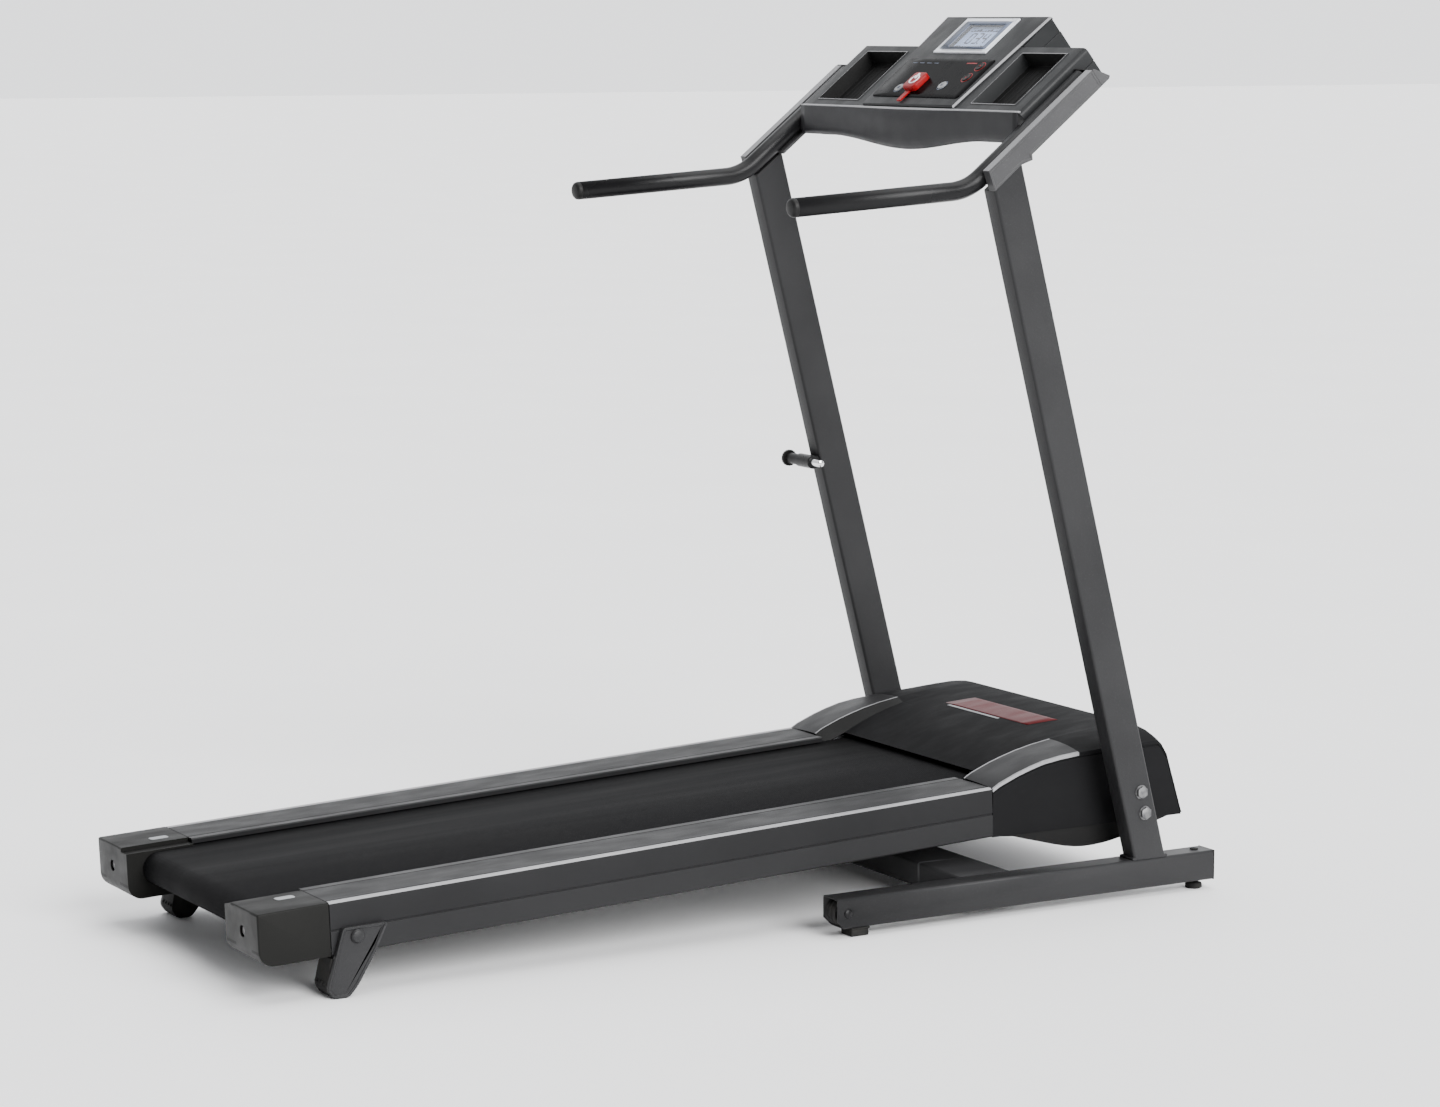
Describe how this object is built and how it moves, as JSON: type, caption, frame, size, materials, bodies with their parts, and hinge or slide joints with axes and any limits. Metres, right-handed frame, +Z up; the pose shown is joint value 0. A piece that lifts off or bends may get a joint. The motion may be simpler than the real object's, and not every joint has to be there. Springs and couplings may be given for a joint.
{
  "type": "treadmill",
  "caption": "Folding home treadmill: tilted walking deck with belt and motor hood, leaning uprights, sloped console with display and key, handrails, wheeled base.",
  "frame": {"origin": "on the floor under the middle of the whole box", "axes": "+X to the walker's right, +Y forward towards the console, +Z up"},
  "size_m": [0.765, 1.5698, 1.3317],
  "materials": {
    "frame_paint": "satin dark grey powder coat",
    "arm_paint": "satin mid grey powder coat",
    "handrail_paint": "semi-gloss black powder coat",
    "cap_plastic": "black moulded plastic",
    "rail_plastic": "dark grey extruded plastic, fine grain",
    "end_cap_plastic": "dark grey moulded plastic",
    "hood_plastic": "charcoal moulded plastic, fine grain",
    "belt_rubber": "charcoal walking belt with a woven diamond texture",
    "zinc_steel": "zinc plated",
    "roller_steel": "ground steel",
    "chrome_pin": "polished",
    "knob_plastic": "black moulded knob",
    "foot_rubber": "black rubber",
    "wheel_plastic": "black hard plastic",
    "deck_wood": "fibreboard with a dark waxed face",
    "motor_paint": "black motor can",
    "drive_rubber": "ribbed drive belt",
    "circuit_board": "green circuit board",
    "console_plastic": "dark grey moulded plastic",
    "apron_plastic": "dark grey moulded plastic",
    "panel_gloss": "black glossy control overlay",
    "button_plastic": "light grey key",
    "key_red": "red moulded key",
    "lcd_bezel": "pale display surround",
    "lcd_glass": "clear window",
    "lcd_screen": "blue-grey liquid crystal",
    "switch_plastic": "black switch and socket"
  },
  "bodies": {
    "stand": {"base_rail_left": "frame_paint", "base_rail_right": "frame_paint", "base_crossbar": "frame_paint", "frame_bolts": "zinc_steel", "rear_base_pads": "foot_rubber", "tube_end_caps": "cap_plastic", "upright_left": "frame_paint", "upright_right": "frame_paint", "console_arm_left": "arm_paint", "console_arm_right": "arm_paint", "handrail_left": "handrail_paint", "handrail_right": "handrail_paint", "latch_bracket": "handrail_paint", "console_base": "console_plastic", "console_top": "console_plastic", "console_apron": "apron_plastic", "console_module": "console_plastic", "control_panel": "panel_gloss", "lcd_frame": "lcd_bezel", "lcd_window": "lcd_glass", "lcd_display": "lcd_screen", "console_board": "circuit_board"},
    "walking_deck": {"deck_side_tubes": "frame_paint", "deck_crossmembers": "frame_paint", "deck_board": "deck_wood", "board_isolators": "foot_rubber", "foot_rail_left": "rail_plastic", "foot_rail_right": "rail_plastic", "end_cap_left": "end_cap_plastic", "end_cap_right": "end_cap_plastic", "walking_belt": "belt_rubber", "roller_axles": "zinc_steel", "deck_bolts": "zinc_steel", "catch_plate": "zinc_steel", "drive_motor": "motor_paint", "drive_belt": "drive_rubber", "controller_board": "circuit_board", "motor_hood": "hood_plastic", "belly_pan": "hood_plastic", "power_inlet": "switch_plastic", "switch_frame": "switch_plastic"},
    "latch": {"latch_pin": "chrome_pin", "latch_knob": "knob_plastic"},
    "rear_roller": {"rear_roller": "roller_steel"},
    "front_roller": {"front_roller": "roller_steel"},
    "motor_rotor": {"motor_rotor": "roller_steel"},
    "incline_leg_left": {"incline_leg_left": "frame_paint", "leg_foot_left": "foot_rubber"},
    "incline_leg_right": {"incline_leg_right": "frame_paint", "leg_foot_right": "foot_rubber"},
    "power_switch": {"power_switch": "switch_plastic"},
    "safety_key": {"safety_key": "key_red"},
    "transport_wheel_left": {"transport_wheel_left": "wheel_plastic"},
    "transport_wheel_right": {"transport_wheel_right": "wheel_plastic"},
    "leveller_left": {"leveller_left": "foot_rubber"},
    "leveller_right": {"leveller_right": "foot_rubber"},
    "stop_button": {"stop_button": "button_plastic"},
    "start_button": {"start_button": "button_plastic"},
    "speed_up_button": {"speed_up_button": "button_plastic"},
    "speed_down_button": {"speed_down_button": "button_plastic"}
  },
  "joints": [
    {"name": "deck_fold", "type": "hinge", "parent": "stand", "child": "walking_deck", "pos_m": [0.0215, 0.65, 0.132], "axis": [-1, 0, 0], "range_deg": [0, 70]},
    {"name": "latch_slide", "type": "slide", "parent": "stand", "child": "latch", "axis": [1, 0, 0], "range_m": [0, 0.03]},
    {"name": "rear_roller_spin", "type": "hinge", "parent": "walking_deck", "child": "rear_roller", "pos_m": [0.0215, -0.7349, 0.09806], "axis": [1, 0, 0], "continuous": true},
    {"name": "front_roller_spin", "type": "hinge", "parent": "walking_deck", "child": "front_roller", "pos_m": [0.0215, 0.46385, 0.15291], "axis": [1, 0, 0], "continuous": true},
    {"name": "motor_spin", "type": "hinge", "parent": "walking_deck", "child": "motor_rotor", "pos_m": [0.0215, 0.58624, 0.16912], "axis": [1, 0, 0], "continuous": true},
    {"name": "incline_leg_left_swing", "type": "hinge", "parent": "walking_deck", "child": "incline_leg_left", "pos_m": [-0.278, -0.64, 0.08498], "axis": [1, 0, 0], "range_deg": [0, 35]},
    {"name": "incline_leg_right_swing", "type": "hinge", "parent": "walking_deck", "child": "incline_leg_right", "pos_m": [0.321, -0.64, 0.08498], "axis": [1, 0, 0], "range_deg": [0, 35]},
    {"name": "power_switch_rock", "type": "hinge", "parent": "walking_deck", "child": "power_switch", "pos_m": [0.1665, 0.745, 0.152], "axis": [1, 0, 0], "range_deg": [0, 16]},
    {"name": "safety_key_pull", "type": "slide", "parent": "stand", "child": "safety_key", "axis": [0, -0.6239, 0.7815], "range_m": [0, 0.022]},
    {"name": "transport_wheel_left_spin", "type": "hinge", "parent": "stand", "child": "transport_wheel_left", "pos_m": [-0.3135, 0.1186, 0.037], "axis": [1, 0, 0], "continuous": true},
    {"name": "leveller_left_turn", "type": "hinge", "parent": "stand", "child": "leveller_left", "pos_m": [-0.3135, 0.76, 0.03], "axis": [0, 0, 1], "continuous": true},
    {"name": "transport_wheel_right_spin", "type": "hinge", "parent": "stand", "child": "transport_wheel_right", "pos_m": [0.3565, 0.1186, 0.037], "axis": [1, 0, 0], "continuous": true},
    {"name": "leveller_right_turn", "type": "hinge", "parent": "stand", "child": "leveller_right", "pos_m": [0.3565, 0.76, 0.03], "axis": [0, 0, 1], "continuous": true},
    {"name": "stop_button_press", "type": "slide", "parent": "stand", "child": "stop_button", "axis": [0, 0.6239, -0.7815], "range_m": [0, 0.0012], "stiffness_N_per_m": 600},
    {"name": "start_button_press", "type": "slide", "parent": "stand", "child": "start_button", "axis": [0, 0.6239, -0.7815], "range_m": [0, 0.0012], "stiffness_N_per_m": 600},
    {"name": "speed_up_button_press", "type": "slide", "parent": "stand", "child": "speed_up_button", "axis": [0, 0.6239, -0.7815], "range_m": [0, 0.0012], "stiffness_N_per_m": 600},
    {"name": "speed_down_button_press", "type": "slide", "parent": "stand", "child": "speed_down_button", "axis": [0, 0.6239, -0.7815], "range_m": [0, 0.0012], "stiffness_N_per_m": 600}
  ],
  "couplings": [
    {"joint": "rear_roller_spin", "follows": "front_roller_spin", "ratio": 1},
    {"joint": "motor_spin", "follows": "front_roller_spin", "ratio": 2.8333}
  ]
}
